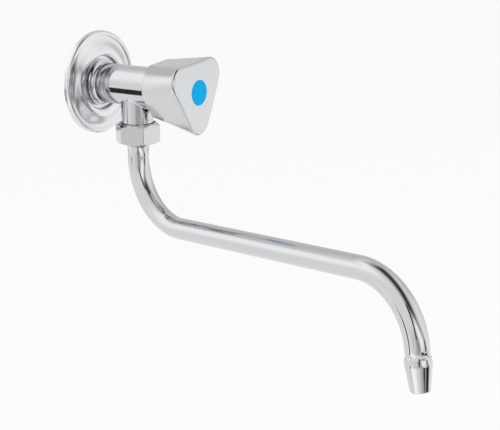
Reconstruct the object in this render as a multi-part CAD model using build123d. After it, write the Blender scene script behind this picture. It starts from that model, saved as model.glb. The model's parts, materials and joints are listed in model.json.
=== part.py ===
from build123d import *

import os
from math import acos, cos, degrees, radians, sin, tan

# A single wall tap with a screw-down valve and a swivelling S-spout. Millimetres, +Z up.
# +Y runs into the wall and the tap stands out along -Y. The origin is the point where the
# tap's axis meets the face of the wall. A "reach" is a distance out from the wall along that
# axis, a "drop" is a distance below it, and a radius ends in _r.

# ---- clearances ------------------------------------------------------------------------------
running_gap = 0.05        # radial, where one piece turns or slides in another
seated_gap = 0.02         # radial, where a piece is screwed, pushed or brazed home
free_gap = 0.3            # radial, where a piece only passes through another
end_gap = 0.15            # along an axis, short of a shoulder that nothing touches
edge_break = 0.4          # chamfer on turned edges
o_ring_sides = 8          # flats of a squeezed O-ring's section

# ---- wall rosette: a pressed sheet with a bead, a trough and a broad dome --------------------
rosette_r = 38.5
rosette_sheet = 1.0
rosette_lip = 2.0
rosette_bead_inset = 1.9       # from the rim to the top of the bead
rosette_bead_reach = 4.1
rosette_trough_inset = 5.3     # from the rim to the bottom of the trough
rosette_trough_reach = 3.4
rosette_crest_width = 3.8      # from the mouth to the top of the dome
rosette_crest_reach = 6.5
rosette_mouth_flare = 0.9      # how far the recess opens towards its mouth
rosette_mouth_reach = 5.4
rosette_recess_gap = 1.5       # radial, between the recess and the body's flange
rosette_seat_reach = 3.0       # front of the flat web that the body's flange presses on
rosette_web_gap = 0.4          # radial, between the web's hole and the inlet thread

# ---- tap body --------------------------------------------------------------------------------
inlet_thread_r = 10.4775       # G 1/2
inlet_thread_length = 15.5
inlet_shank = 14.0             # length of the thread that stands into the wall
inlet_relief_depth = 0.9
inlet_bore_r = 6.5
body_r = 14.8
body_front_reach = 60.0
flange_width = 3.0             # how far the flange stands out from the barrel
flange_thickness = 3.2
flange_step = 0.3
cove_r = 2.7
barrel_undercut = 0.6          # depth of the groove behind the barrel's rear edge
seat_reach = 25.0
seat_bore_r = 5.5
seat_bore_length = 5.0
seat_lip_width = 1.1
seat_lip_height = 1.0
chamber_r = 9.3
headwork_thread_r = 10.4775    # G 1/2
headwork_thread_length = 13.0

# ---- outlet stub under the body and its union nut --------------------------------------------
spout_axis_reach = 37.0
neck_r = 12.0
neck_fillet = 1.6
stub_thread_r = 13.22          # G 3/4
stub_thread_length = 6.4
stub_end_drop = 35.0
stub_bore_r = 9.5
stub_bore_length = 14.0
outlet_bore_r = 6.5
nut_across_flats = 30.0
nut_height = 15.4
nut_floor = 2.6
nut_face_inset = 0.8           # from the flats to the flat ring left by the bevels
nut_corner_round = 0.8
nut_top_bevel = 38.0           # degrees from the end face
nut_bottom_bevel = 30.0
nut_turn = -8.5                # degrees, how the hexagon came to stand

# ---- spout -----------------------------------------------------------------------------------
tube_r = 8.0
tube_wall = 1.0
bend_r = 46.7                  # centreline radius of both bends
tube_fall = 10.3               # straight tube between the nut and the first bend
run_length = 176.8
run_rise = 4.0                 # degrees above level
nozzle_dip = 81.8              # degrees below level
tube_end_length = 5.6          # straight tube between the second bend and the nozzle
spout_rest_swing = -15.0       # degrees from straight out, towards -X
tube_in_spigot = 6.0
spigot_bore_r = 6.0
spigot_end_gap = 1.0
collar_inset = 2.0             # radial, between the collar and the nut's thread
collar_height = 2.0
slide_ring_inset = 0.6         # radial, between the slide rings and the nut's thread
slide_ring_height = 1.5
spout_o_ring_section_r = 1.2
spout_o_ring_spots = (3.6, 7.6)    # from the spigot's top end
nozzle_wall = 0.8              # around the tube's end
nozzle_bevel_length = 3.0
nozzle_band = 1.2
nozzle_length = 21.3
nozzle_bore_r = 4.8
nozzle_tip_wall = 1.7
nozzle_tip_round = 1.0
nozzle_funnel = 4.0
tube_in_nozzle = 4.0

# ---- headwork: the screw-in valve top ---------------------------------------------------------
lift = 5.0                     # full travel of the piston
gasket_height = 1.0
gasket_inset = 1.2             # radial, inside the barrel's outside
hexagon_across_flats = 24.0
hexagon_height = 6.0
bonnet_neck_r = 8.0
bonnet_neck_length = 7.0
bonnet_nose_r = 8.2
spindle_bearing = 10.8         # length of the bonnet's bore round the spindle's neck

piston_r = 6.5
piston_flats = 11.0            # across the two flats that keep the piston from turning
piston_flatted_length = 10.8
piston_round_length = 5.0
piston_overhang = 1.15         # round part that stands out of the bonnet's nose when closed
piston_stem_wall = 0.95        # around the threaded bore
piston_bore_room = 2.35        # threaded bore left beyond the spindle when the valve is open
piston_o_ring_section_r = 0.75
washer_r = 7.1
washer_height = 3.5
washer_cup_wall = 0.7
washer_cup_lip = 2.0
washer_cup_floor = 2.6
washer_nut_across_flats = 8.0
washer_nut_height = 3.0
stud_r = 2.5

# ---- spindle ---------------------------------------------------------------------------------
spindle_thread_r = 4.0
spindle_thread_length = 15.3
spindle_neck_r = 4.5
spindle_collar_width = 0.8
spindle_collar_height = 1.4
thrust_washer_height = 0.5
spindle_o_ring_section_r = 0.75
spindle_o_ring_spots = (3.6, 7.4)  # from the bonnet's front face
circlip_height = 0.9
circlip_groove_depth = 0.8
circlip_width = 1.9            # how far the circlip stands out from the spindle's neck
circlip_opening = 4.6
spline_tip_r = 4.0
spline_depth = 0.45
spline_teeth = 20

# ---- handle ----------------------------------------------------------------------------------
handle_depth = 35.3
handle_overlap = 1.6           # how far the rim reaches over the barrel's front edge
handle_rim_r = 21.8
handle_rim_flat = 19.5         # from the axis to each flat, at the rim
handle_corner_offset = 21.4    # from the axis to the centre of each corner, at the face
handle_corner_r = 11.5
handle_turn = 36.0             # degrees, direction of the first corner with the valve closed
handle_wall = 2.0
handle_face_wall = 3.0
handle_dome_r = 420.0
handle_edge_round = 1.9
handle_rim_round = 0.5
hub_gap = 1.1                  # along the axis, between the circlip and the hub
hub_wall = 1.6
hub_web = 2.0                  # metal between the insert and the screw's head
insert_across_flats = 13.0
rib_thickness = 2.2
rib_depth = 9.0
screw_shank_r = 2.0
screw_length = 12.0
screw_head_r = 3.8
screw_head_height = 2.6
screw_head_room = 2.4          # between the screw's head and the index cap
screw_socket_flats = 3.0
screw_socket_depth = 1.6
cap_r = 9.25
cap_rim_height = 2.0
cap_proud = 0.3
cap_bevel = 0.35
cap_ledge = 0.85               # how far the cap's rim stands out from its plug
cap_plug_wall = 1.2
cap_plug_length = 2.6

# ---- sizes and places that follow from those above -------------------------------------------
flange_r = body_r + flange_width
flange_front_reach = rosette_seat_reach + flange_thickness
barrel_rear_reach = flange_front_reach + flange_step + cove_r + barrel_undercut
seat_lip_r = seat_bore_r + seat_lip_width

collar_top_drop = stub_end_drop + slide_ring_height
collar_bottom_drop = collar_top_drop + collar_height
nut_floor_drop = collar_bottom_drop + slide_ring_height
nut_bottom_drop = nut_floor_drop + nut_floor
nut_top_drop = nut_bottom_drop - nut_height
slide_ring_r = stub_thread_r - slide_ring_inset
collar_r = stub_thread_r - collar_inset
tube_top_drop = collar_bottom_drop - tube_in_spigot
first_bend_drop = nut_bottom_drop + tube_fall

gasket_front_reach = body_front_reach + gasket_height
hexagon_front_reach = gasket_front_reach + hexagon_height
bonnet_front_reach = hexagon_front_reach + bonnet_neck_length
thrust_face_reach = bonnet_front_reach - spindle_bearing
collar_front_reach = thrust_face_reach - thrust_washer_height
collar_rear_reach = collar_front_reach - spindle_collar_height
spindle_rear_reach = collar_rear_reach - spindle_thread_length
guide_front_reach = collar_rear_reach - end_gap
piston_front_reach = guide_front_reach - end_gap - lift
piston_round_front_reach = piston_front_reach - piston_flatted_length
piston_round_rear_reach = piston_round_front_reach - piston_round_length
piston_o_ring_reach = (piston_round_rear_reach + piston_round_front_reach) / 2
piston_bore_reach = spindle_rear_reach - lift - piston_bore_room
guide_rear_reach = piston_round_front_reach + lift + end_gap
bonnet_nose_reach = piston_round_rear_reach + piston_overhang
piston_stem_r = spindle_thread_r + running_gap + piston_stem_wall
washer_front_reach = seat_reach + washer_height
washer_cup_r = washer_r + seated_gap + washer_cup_wall
cup_rear_reach = washer_front_reach - washer_cup_lip
cup_front_reach = washer_front_reach + washer_cup_floor

hub_rear_reach = bonnet_front_reach + circlip_height + hub_gap
handle_rim_reach = body_front_reach - handle_overlap
handle_face_reach = handle_rim_reach + handle_depth
handle_floor_reach = handle_face_reach - handle_face_wall
cap_front_reach = handle_face_reach + cap_proud
cap_seat_reach = cap_front_reach - cap_rim_height
cap_plug_r = cap_r - cap_ledge
hub_r = cap_plug_r + hub_wall
screw_seat_reach = cap_seat_reach - screw_head_room - screw_head_height
insert_front_reach = screw_seat_reach - hub_web

# ---- shared frames ---------------------------------------------------------------------------
tap_axis = Plane(origin=(0, 0, 0), x_dir=(1, 0, 0), z_dir=(0, -1, 0))
swing = radians(spout_rest_swing)
spout_frame = Plane(
    origin=(0, -spout_axis_reach, 0), x_dir=(sin(swing), -cos(swing), 0), z_dir=(0, 0, 1)
)


# ---- shapes that several pieces share --------------------------------------------------------
def turned(*corners):
    """Solid of revolution about Z from the (radius, height) corners of its half section."""
    return revolve(Plane.XZ * make_face(Polyline(*corners, close=True)), Axis.Z)


def turned_lines(lines):
    """Solid of revolution about Z from the lines and arcs that close its half section."""
    return revolve(Plane.XZ * make_face(lines), Axis.Z)


def rod(radius, low, high):
    """Plain cylinder on Z between two heights."""
    return turned((0, low), (radius, low), (radius, high), (0, high))


def ring(bore_r, outer_r, low, high):
    """Plain ring on Z between two heights."""
    return turned((bore_r, low), (outer_r, low), (outer_r, high), (bore_r, high))


def hexagon(across_flats, low, high, turn=0.0):
    """Six-sided prism on Z between two heights."""
    outline = RegularPolygon(across_flats / 2, 6, major_radius=False, rotation=turn)
    return extrude(Pos(0, 0, low) * outline, high - low)


def corner_distance(across_flats):
    """Distance from a hexagon's centre to its corners."""
    return across_flats / 2 / cos(radians(30))


def double_flat(radius, across_flats, low, high):
    """Rod with two parallel flats facing +Y and -Y."""
    slab = Pos(0, 0, low) * Box(
        2 * radius, across_flats, high - low, align=(Align.CENTER, Align.CENTER, Align.MIN)
    )
    return rod(radius, low, high) & slab


def o_ring(outer_r, section_r, height):
    """Rubber ring whose outside lies at outer_r, pressed flat where it bears on metal."""
    middle_r = outer_r - section_r
    corner = section_r / cos(radians(180 / o_ring_sides))
    bearings = [radians(360 * (side + 0.5) / o_ring_sides) for side in range(o_ring_sides)]
    return turned(*[(middle_r + corner * cos(a), height + corner * sin(a)) for a in bearings])


def o_ring_groove(outer_r, section_r, height):
    """Ring of metal that is cut away so that an O-ring sits level with the surface."""
    root_r = outer_r - 2 * section_r - seated_gap
    half_width = section_r + seated_gap
    return ring(root_r, outer_r + edge_break, height - half_width, height + half_width)


def spline_outline(growth=0.0):
    """Star-shaped section of the spindle's toothed end, grown outwards for its socket."""
    step = radians(180 / spline_teeth)
    corners = []
    for index in range(2 * spline_teeth):
        depth = spline_depth if index % 2 else 0
        radius = spline_tip_r - depth + growth
        corners.append((radius * cos(index * step), radius * sin(index * step)))
    return make_face(Polyline(*corners, close=True))


def three_sided_outline(arc_offset, arc_r, half_sweep):
    """Face with an arc at each of the handle's corners, joined by straight sides.

    arc_offset is the distance from the axis to each arc's centre, and each arc covers
    half_sweep degrees to both sides of its corner.
    """
    arcs = []
    for corner in range(3):
        direction = handle_turn + 120 * corner
        centre = (
            arc_offset * cos(radians(direction)),
            arc_offset * sin(radians(direction)),
        )
        arcs.append(CenterArc(centre, arc_r, direction - half_sweep, 2 * half_sweep))
    sides = [Line(arcs[corner - 1] @ 1, arcs[corner] @ 0) for corner in range(3)]
    return make_face(arcs + sides)


# ---- wall side -------------------------------------------------------------------------------
def rosette_surface(sink):
    """Dished line of the pressed sheet, sink millimetres under its outer face."""
    mouth_r = flange_r + rosette_recess_gap + rosette_mouth_flare
    lip = (rosette_r - sink, rosette_lip)
    bead = (rosette_r - rosette_bead_inset, rosette_bead_reach - sink)
    trough = (rosette_r - rosette_trough_inset, rosette_trough_reach - sink)
    crest = (mouth_r + rosette_crest_width, rosette_crest_reach - sink)
    mouth = (mouth_r + sink, rosette_mouth_reach)
    level = (-1, 0)
    slopes = ((0, 1), level, level, level, (-0.5, -1))
    return Spline(lip, bead, trough, crest, mouth, tangents=slopes)


def wall_rosette():
    outer = rosette_surface(0)
    inner = rosette_surface(rosette_sheet)
    web_back = rosette_seat_reach - rosette_sheet
    web_hole_r = inlet_thread_r + rosette_web_gap
    recess_r = flange_r + rosette_recess_gap
    half_section = [
        Line((rosette_r, 0), outer @ 0),
        outer,
        Polyline(
            outer @ 1, (recess_r, rosette_seat_reach), (web_hole_r, rosette_seat_reach),
            (web_hole_r, web_back), (recess_r + rosette_sheet, web_back), inner @ 1,
        ),
        inner,
        Polyline(inner @ 0, (rosette_r - rosette_sheet, 0), (rosette_r, 0)),
    ]
    return tap_axis * turned_lines(half_section)


def body_outside():
    """Barrel, flange and inlet shank in one turning, with the outlet neck grown from it."""
    thread_front = inlet_thread_length - inlet_shank
    relief_r = inlet_thread_r - inlet_relief_depth
    cove_foot_r = body_r - barrel_undercut
    step_r = cove_foot_r + cove_r
    cove_rear = flange_front_reach + flange_step
    half_section = [
        Polyline(
            (0, -inlet_shank), (inlet_thread_r - edge_break, -inlet_shank),
            (inlet_thread_r, edge_break - inlet_shank), (inlet_thread_r, thread_front),
            (relief_r, thread_front), (relief_r, rosette_seat_reach),
            (flange_r, rosette_seat_reach), (flange_r, flange_front_reach - edge_break),
            (flange_r - edge_break, flange_front_reach), (step_r, flange_front_reach),
            (step_r, cove_rear),
        ),
        CenterArc((step_r, cove_rear + cove_r), cove_r, 270, -90),
        Polyline(
            (cove_foot_r, cove_rear + cove_r), (cove_foot_r, barrel_rear_reach),
            (body_r, barrel_rear_reach), (body_r, body_front_reach - edge_break),
            (body_r - edge_break, body_front_reach), (0, body_front_reach), (0, -inlet_shank),
        ),
    ]
    thread_top = stub_thread_length - stub_end_drop
    thread_end_r = stub_thread_r - edge_break
    neck = turned(
        (0, 0), (neck_r, 0), (neck_r, thread_top), (thread_end_r, thread_top),
        (stub_thread_r, thread_top - edge_break), (stub_thread_r, edge_break - stub_end_drop),
        (thread_end_r, -stub_end_drop), (0, -stub_end_drop),
    )
    outside = tap_axis * turned_lines(half_section) + spout_frame * neck
    turned_edges = (GeomType.CIRCLE, GeomType.LINE)
    junction = [edge for edge in outside.edges() if edge.geom_type not in turned_edges]
    return fillet(junction, neck_fillet)


def tap_body():
    lip_rear = seat_reach - seat_lip_height
    seat_bore_rear = seat_reach - seat_bore_length
    mouth_rear = body_front_reach - headwork_thread_length
    waterway = turned(
        (0, -inlet_shank), (inlet_bore_r, -inlet_shank), (inlet_bore_r, seat_bore_rear),
        (seat_bore_r, seat_bore_rear), (seat_bore_r, seat_reach), (seat_lip_r, seat_reach),
        (seat_lip_r, lip_rear), (chamber_r, lip_rear), (chamber_r, mouth_rear),
        (headwork_thread_r, mouth_rear), (headwork_thread_r, body_front_reach),
        (0, body_front_reach),
    )
    bore_top = stub_bore_length - stub_end_drop
    outlet = rod(outlet_bore_r, bore_top, 0) + rod(stub_bore_r, -stub_end_drop, bore_top)
    return body_outside() - tap_axis * waterway - spout_frame * outlet


# ---- spout joint under the body --------------------------------------------------------------
def union_nut():
    prism = hexagon(nut_across_flats, -nut_bottom_drop, -nut_top_drop, nut_turn)
    prism = fillet(prism.edges().filter_by(Axis.Z), nut_corner_round)
    face_r = nut_across_flats / 2 - nut_face_inset
    corner_r = corner_distance(nut_across_flats)
    top_fall = (corner_r - face_r) * tan(radians(nut_top_bevel))
    bottom_rise = (corner_r - face_r) * tan(radians(nut_bottom_bevel))
    bevels = turned(
        (0, -nut_bottom_drop), (face_r, -nut_bottom_drop),
        (corner_r, bottom_rise - nut_bottom_drop), (corner_r, -nut_top_drop - top_fall),
        (face_r, -nut_top_drop), (0, -nut_top_drop),
    )
    thread_bore = rod(stub_thread_r + seated_gap, -nut_floor_drop, -nut_top_drop)
    tube_hole = rod(tube_r + free_gap, -nut_bottom_drop, -nut_floor_drop)
    nut = (prism & bevels) - thread_bore - tube_hole
    return Pos(0, -spout_axis_reach, 0) * nut


def upper_slide_ring():
    return spout_frame * ring(stub_bore_r, slide_ring_r, -collar_top_drop, -stub_end_drop)


def lower_slide_ring():
    hole_r = tube_r + free_gap
    return spout_frame * ring(hole_r, slide_ring_r, -nut_floor_drop, -collar_bottom_drop)


def spout_o_ring_heights():
    """Heights of the two O-rings on the spigot, counted from its top end."""
    spigot_top = stub_bore_length - stub_end_drop - spigot_end_gap
    return [spigot_top - spot for spot in spout_o_ring_spots]


def spout_spigot():
    spigot_r = stub_bore_r - running_gap
    spigot_top = stub_bore_length - stub_end_drop - spigot_end_gap
    socket_r = tube_r + seated_gap
    spigot = turned(
        (spigot_bore_r, spigot_top), (spigot_r - edge_break, spigot_top),
        (spigot_r, spigot_top - edge_break), (spigot_r, -collar_top_drop),
        (collar_r, -collar_top_drop), (collar_r, -collar_bottom_drop),
        (socket_r, -collar_bottom_drop), (socket_r, -tube_top_drop),
        (spigot_bore_r, -tube_top_drop),
    )
    for height in spout_o_ring_heights():
        spigot -= o_ring_groove(spigot_r, spout_o_ring_section_r, height)
    return spout_frame * spigot


def spout_o_rings():
    spigot_r = stub_bore_r - running_gap
    rings = [
        o_ring(spigot_r, spout_o_ring_section_r, height) for height in spout_o_ring_heights()
    ]
    return spout_frame * Compound(rings)


# ---- spout -----------------------------------------------------------------------------------
def spout_route():
    """Centreline of the tube with X outwards and Y upwards, and the nozzle's upper end."""
    fall = Line((0, -tube_top_drop), (0, -first_bend_drop))
    first_bend = JernArc(fall @ 1, fall % 1, bend_r, 90 + run_rise)
    run = Line(first_bend @ 1, first_bend @ 1 + (first_bend % 1) * run_length)
    second_bend = JernArc(run @ 1, run % 1, bend_r, -(run_rise + nozzle_dip))
    nozzle_top = second_bend @ 1 + (second_bend % 1) * tube_end_length
    tail = Line(second_bend @ 1, nozzle_top + (second_bend % 1) * tube_in_nozzle)
    return Wire([fall, first_bend, run, second_bend, tail]), nozzle_top, tail % 1


def spout_tube():
    route, _, _ = spout_route()
    section = Circle(tube_r) - Circle(tube_r - tube_wall)
    top_end = Pos(0, 0, -tube_top_drop) * section
    return spout_frame * sweep(top_end, path=Plane.XZ * route)


def outlet_nozzle():
    _, top, direction = spout_route()
    socket_r = tube_r + seated_gap
    sleeve_r = tube_r + nozzle_wall
    band_end = nozzle_bevel_length + nozzle_band
    tip_r = nozzle_bore_r + nozzle_tip_wall
    tip_face_r = tip_r - nozzle_tip_round
    taper_end = nozzle_length - nozzle_tip_round
    funnel_end = tube_in_nozzle + nozzle_funnel
    half_section = [
        Polyline(
            (socket_r, 0), (tube_r + edge_break, 0), (sleeve_r, nozzle_bevel_length),
            (sleeve_r, band_end), (tip_r, taper_end),
        ),
        CenterArc((tip_face_r, taper_end), nozzle_tip_round, 0, 90),
        Polyline(
            (tip_face_r, nozzle_length), (nozzle_bore_r + edge_break, nozzle_length),
            (nozzle_bore_r, nozzle_length - edge_break), (nozzle_bore_r, funnel_end),
            (tube_r - tube_wall, tube_in_nozzle), (socket_r, tube_in_nozzle), (socket_r, 0),
        ),
    ]
    end_plane = Plane(origin=(top.X, 0, top.Y), z_dir=(direction.X, 0, direction.Y))
    return spout_frame * (end_plane * turned_lines(half_section))


# ---- headwork --------------------------------------------------------------------------------
def headwork_gasket():
    outer_r = body_r - gasket_inset
    return tap_axis * ring(headwork_thread_r, outer_r, body_front_reach, gasket_front_reach)


def headwork_housing():
    thread_r = headwork_thread_r - seated_gap
    thread_rear = body_front_reach - headwork_thread_length
    outside = turned(
        (0, bonnet_nose_reach), (bonnet_nose_r, bonnet_nose_reach), (bonnet_nose_r, thread_rear),
        (thread_r - edge_break, thread_rear), (thread_r, thread_rear + edge_break),
        (thread_r, hexagon_front_reach), (bonnet_neck_r, hexagon_front_reach),
        (bonnet_neck_r, bonnet_front_reach - edge_break),
        (bonnet_neck_r - edge_break, bonnet_front_reach), (0, bonnet_front_reach),
    )
    flat_r = hexagon_across_flats / 2
    corner_r = corner_distance(hexagon_across_flats)
    bevel_fall = corner_r - flat_r
    bevel = turned(
        (0, gasket_front_reach), (corner_r, gasket_front_reach),
        (corner_r, hexagon_front_reach - bevel_fall), (flat_r, hexagon_front_reach),
        (0, hexagon_front_reach),
    )
    hexagon_part = hexagon(hexagon_across_flats, gasket_front_reach, hexagon_front_reach)
    bore_r = piston_r + running_gap
    guide_flats = piston_flats + 2 * running_gap
    bore = rod(bore_r, bonnet_nose_reach, guide_rear_reach)
    bore += double_flat(bore_r, guide_flats, guide_rear_reach, guide_front_reach)
    bore += rod(bore_r, guide_front_reach, thrust_face_reach)
    bore += rod(spindle_neck_r + running_gap, thrust_face_reach, bonnet_front_reach)
    return tap_axis * (outside + (hexagon_part & bevel) - bore)


def valve_piston():
    recess_r = washer_r + seated_gap
    stud_rear = seat_reach - washer_nut_height - edge_break
    piston = turned(
        (0, stud_rear), (stud_r, stud_rear), (stud_r, washer_front_reach),
        (recess_r, washer_front_reach), (recess_r, cup_rear_reach),
        (washer_cup_r, cup_rear_reach), (washer_cup_r, cup_front_reach),
        (piston_stem_r, cup_front_reach), (piston_stem_r, piston_round_rear_reach),
        (piston_r, piston_round_rear_reach), (piston_r, piston_round_front_reach),
        (0, piston_round_front_reach),
    )
    piston -= o_ring_groove(piston_r, piston_o_ring_section_r, piston_o_ring_reach)
    piston += double_flat(piston_r, piston_flats, piston_round_front_reach, piston_front_reach)
    thread_bore = rod(spindle_thread_r + running_gap, piston_bore_reach, piston_front_reach)
    return tap_axis * (piston - thread_bore)


def piston_o_ring():
    return tap_axis * o_ring(piston_r, piston_o_ring_section_r, piston_o_ring_reach)


def seat_washer():
    return tap_axis * ring(stud_r + seated_gap, washer_r, seat_reach, washer_front_reach)


def washer_nut():
    rear = seat_reach - washer_nut_height
    blank = hexagon(washer_nut_across_flats, rear, seat_reach)
    return tap_axis * (blank - rod(stud_r + seated_gap, rear, seat_reach))


def spindle_o_ring_reaches():
    """Reaches of the two O-rings on the spindle's neck."""
    return [bonnet_front_reach - spot for spot in spindle_o_ring_spots]


def spindle():
    collar_r = spindle_neck_r + spindle_collar_width
    groove_r = spindle_neck_r - circlip_groove_depth
    groove_front = bonnet_front_reach + circlip_height + seated_gap
    shaft = turned(
        (0, spindle_rear_reach), (spindle_thread_r - edge_break, spindle_rear_reach),
        (spindle_thread_r, spindle_rear_reach + edge_break),
        (spindle_thread_r, collar_rear_reach), (collar_r, collar_rear_reach),
        (collar_r, collar_front_reach), (spindle_neck_r, collar_front_reach),
        (spindle_neck_r, bonnet_front_reach), (groove_r, bonnet_front_reach),
        (groove_r, groove_front), (spindle_neck_r, groove_front),
        (spindle_neck_r, hub_rear_reach), (0, hub_rear_reach),
    )
    for reach in spindle_o_ring_reaches():
        shaft -= o_ring_groove(spindle_neck_r, spindle_o_ring_section_r, reach)
    teeth_start = Pos(0, 0, hub_rear_reach) * spline_outline()
    teeth = extrude(teeth_start, insert_front_reach - hub_rear_reach)
    hole_bottom = screw_seat_reach - screw_length - edge_break
    screw_hole = rod(screw_shank_r + seated_gap, hole_bottom, insert_front_reach)
    return tap_axis * (shaft + teeth - screw_hole)


def spindle_o_rings():
    rings = [
        o_ring(spindle_neck_r, spindle_o_ring_section_r, reach)
        for reach in spindle_o_ring_reaches()
    ]
    return tap_axis * Compound(rings)


def thrust_washer():
    bore_r = spindle_neck_r + running_gap
    outer_r = spindle_neck_r + spindle_collar_width
    return tap_axis * ring(bore_r, outer_r, collar_front_reach, thrust_face_reach)


def spindle_circlip():
    inner_r = spindle_neck_r - circlip_groove_depth + seated_gap
    outer_r = spindle_neck_r + circlip_width
    clip = ring(inner_r, outer_r, bonnet_front_reach, bonnet_front_reach + circlip_height)
    opening = Pos(0, outer_r, bonnet_front_reach) * Box(
        circlip_opening, 2 * outer_r, circlip_height,
        align=(Align.CENTER, Align.CENTER, Align.MIN),
    )
    return tap_axis * (clip - opening)


# ---- handle ----------------------------------------------------------------------------------
def handle_loft(inset):
    """Ruled loft from the round-cornered rim to the three-cornered face, inset all round."""
    rim_r = handle_rim_r - inset
    rim_half_sweep = 60 - degrees(acos((handle_rim_flat - inset) / rim_r))
    rim = three_sided_outline(0, rim_r, rim_half_sweep)
    outline = three_sided_outline(handle_corner_offset, handle_corner_r - inset, 60)
    sections = [Pos(0, 0, handle_rim_reach) * rim, Pos(0, 0, handle_face_reach) * outline]
    return loft(sections, ruled=True)


def handle_shell():
    """Hollow handle with its domed face and rounded edges, before the hub is put in."""
    dome_centre = Pos(0, 0, handle_face_reach - handle_dome_r)
    dome = dome_centre * Rot(90, 0, 0) * Sphere(handle_dome_r)
    outside = handle_loft(0) & dome
    face = outside.faces().sort_by(Axis.Z)[-1]
    outside = fillet(face.edges(), handle_edge_round)
    widest_r = handle_corner_offset + handle_corner_r
    below_face = rod(widest_r, handle_rim_reach, handle_floor_reach)
    shell = outside - (handle_loft(handle_wall) & below_face)
    rim_edges = shell.faces().sort_by(Axis.Z)[0].outer_wire().edges()
    return fillet(rim_edges, handle_rim_round)


def handle():
    shell = handle_shell()
    inside = handle_loft(handle_wall / 2)
    widest_r = handle_corner_offset + handle_corner_r
    shell += rod(hub_r, hub_rear_reach, handle_floor_reach)
    for corner in range(3):
        rib = Pos(hub_r / 2, 0, handle_floor_reach - rib_depth) * Box(
            widest_r, rib_thickness, rib_depth, align=(Align.MIN, Align.CENTER, Align.MIN)
        )
        shell += (Rot(0, 0, handle_turn + 120 * corner) * rib) & inside

    insert_bore = hexagon(insert_across_flats + 2 * seated_gap, hub_rear_reach, insert_front_reach)
    screw_hole = rod(screw_shank_r + free_gap, insert_front_reach, screw_seat_reach)
    plug_bore = rod(cap_plug_r + seated_gap, screw_seat_reach, cap_seat_reach)
    cap_bore = rod(cap_r + seated_gap, cap_seat_reach, cap_front_reach)
    return tap_axis * (shell - insert_bore - screw_hole - plug_bore - cap_bore)


def spline_insert():
    blank = hexagon(insert_across_flats, hub_rear_reach, insert_front_reach)
    socket_start = Pos(0, 0, hub_rear_reach) * spline_outline(seated_gap)
    socket = extrude(socket_start, insert_front_reach - hub_rear_reach)
    return tap_axis * (blank - socket)


def handle_screw():
    shank_rear = screw_seat_reach - screw_length
    head_front = screw_seat_reach + screw_head_height
    screw = turned(
        (0, shank_rear), (screw_shank_r, shank_rear), (screw_shank_r, screw_seat_reach),
        (screw_head_r, screw_seat_reach), (screw_head_r, head_front - edge_break),
        (screw_head_r - edge_break, head_front), (0, head_front),
    )
    socket = hexagon(screw_socket_flats, head_front - screw_socket_depth, head_front)
    return tap_axis * (screw - socket)


def index_cap():
    plug_rear = cap_seat_reach - cap_plug_length
    hollow_r = cap_plug_r - cap_plug_wall
    cap = turned(
        (hollow_r, plug_rear), (cap_plug_r, plug_rear), (cap_plug_r, cap_seat_reach),
        (cap_r, cap_seat_reach), (cap_r, cap_front_reach - cap_bevel),
        (cap_r - cap_bevel, cap_front_reach), (0, cap_front_reach), (0, cap_seat_reach),
        (hollow_r, cap_seat_reach),
    )
    return tap_axis * cap


# ---- the pieces, one file each ---------------------------------------------------------------
pieces = (
    wall_rosette, tap_body,
    union_nut, upper_slide_ring, lower_slide_ring,
    spout_spigot, spout_o_rings, spout_tube, outlet_nozzle,
    headwork_gasket, headwork_housing, valve_piston, piston_o_ring, seat_washer, washer_nut,
    spindle, spindle_o_rings, thrust_washer, spindle_circlip,
    handle, spline_insert, handle_screw, index_cap,
)

os.makedirs("parts", exist_ok=True)
for make in pieces:
    export_step(make(), f"parts/{make.__name__}.step")
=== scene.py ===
"""Looks of a single wall tap: its chromed body, handle and swivelling spout, and their insides.

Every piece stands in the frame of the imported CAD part: metres, +Z up, +Y into the wall.
"""

import json
import logging
from dataclasses import dataclass
from enum import Enum
from math import cos, hypot, pi, radians, sin, tan
from typing import Any, Optional, Union

import bmesh
import bpy
from bpy.types import ID, Material, Mesh, Node, NodeSocket, NodeTree, Object
from mathutils import Matrix, Vector


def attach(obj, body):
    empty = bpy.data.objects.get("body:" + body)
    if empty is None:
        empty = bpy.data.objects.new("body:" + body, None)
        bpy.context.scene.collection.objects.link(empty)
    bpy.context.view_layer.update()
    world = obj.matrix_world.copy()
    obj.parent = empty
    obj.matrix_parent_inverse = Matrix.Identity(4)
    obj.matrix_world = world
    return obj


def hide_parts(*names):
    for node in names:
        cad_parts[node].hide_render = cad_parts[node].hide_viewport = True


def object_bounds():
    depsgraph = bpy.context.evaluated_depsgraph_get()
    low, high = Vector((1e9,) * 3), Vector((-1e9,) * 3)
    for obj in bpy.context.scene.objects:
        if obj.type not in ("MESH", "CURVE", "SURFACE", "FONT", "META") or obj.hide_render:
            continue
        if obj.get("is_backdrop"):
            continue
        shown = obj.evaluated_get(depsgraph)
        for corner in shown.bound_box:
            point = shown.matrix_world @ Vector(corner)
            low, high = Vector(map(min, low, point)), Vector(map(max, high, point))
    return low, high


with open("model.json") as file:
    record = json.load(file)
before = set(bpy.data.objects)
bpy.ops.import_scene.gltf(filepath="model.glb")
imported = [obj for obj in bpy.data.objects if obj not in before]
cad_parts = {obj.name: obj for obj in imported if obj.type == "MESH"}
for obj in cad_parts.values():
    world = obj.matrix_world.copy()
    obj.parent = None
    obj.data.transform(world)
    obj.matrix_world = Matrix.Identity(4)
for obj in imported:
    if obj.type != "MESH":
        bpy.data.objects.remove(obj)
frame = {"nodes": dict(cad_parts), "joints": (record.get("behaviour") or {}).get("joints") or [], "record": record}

log = logging.getLogger("wall_tap")

Colour = tuple[float, float, float, float]
Key = Union[str, int]
Source = Union[Node, NodeSocket]

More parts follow.
